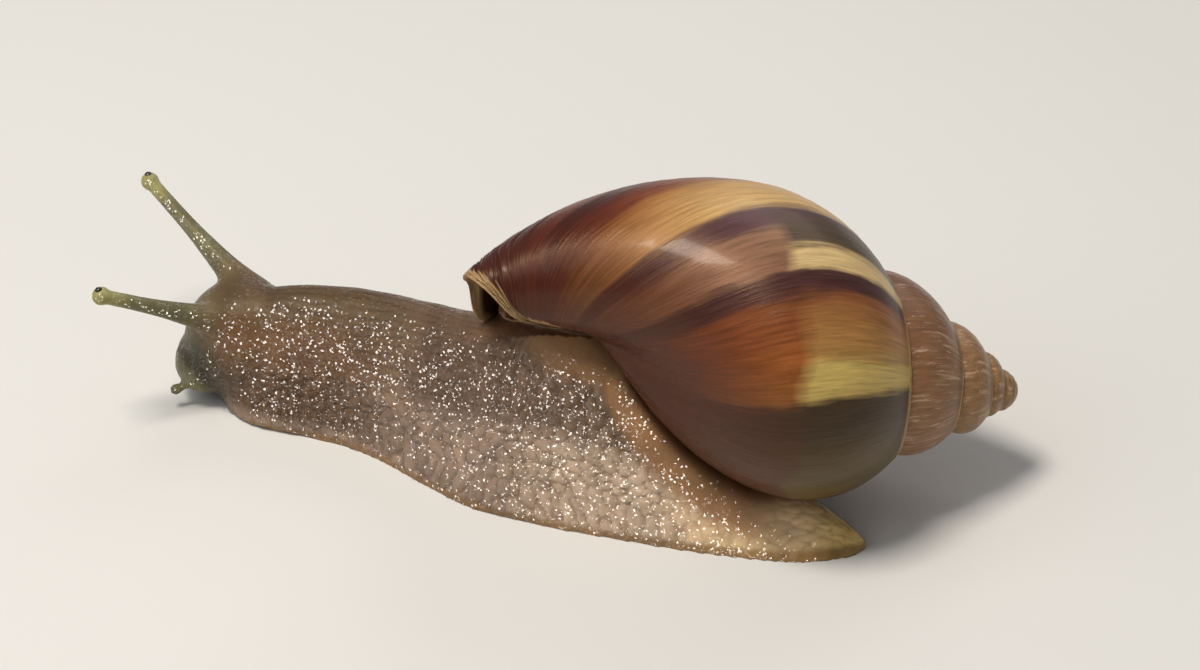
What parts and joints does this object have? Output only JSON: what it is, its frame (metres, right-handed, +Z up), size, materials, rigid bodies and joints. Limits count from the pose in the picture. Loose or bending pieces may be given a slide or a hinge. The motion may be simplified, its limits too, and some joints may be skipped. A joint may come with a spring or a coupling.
{
  "type": "giant african land snail",
  "caption": "Still, life-size model of a crawling giant land snail, head out and tentacles raised, carrying a tall spiral shell on its back.",
  "frame": {"origin": "middle of the sole, on the ground", "axes": "-X the way the animal crawls, -Y its left side, +Z up"},
  "size_m": [0.1073, 0.0332, 0.0381],
  "materials": {
    "shell": "glossy horn-brown shell, streaked cream and mahogany along its growth lines",
    "skin": "wet, pebbled grey-brown skin",
    "mantle": "wet, smooth beige collar",
    "tentacle_tip": "wet, half-clear yellowish skin",
    "eye": "glossy black"
  },
  "bodies": {
    "root": {"shell": "shell", "mantle": "mantle", "foot": "skin", "tail": "skin", "back": "skin", "neck": "skin", "head": "skin", "lips": "skin", "upper_tentacle_left_base": "skin", "upper_tentacle_left_tip": "tentacle_tip", "upper_tentacle_right_base": "skin", "upper_tentacle_right_tip": "tentacle_tip", "lower_tentacle_left": "tentacle_tip", "lower_tentacle_right": "tentacle_tip", "eye_left": "eye", "eye_right": "eye"}
  },
  "joints": []
}
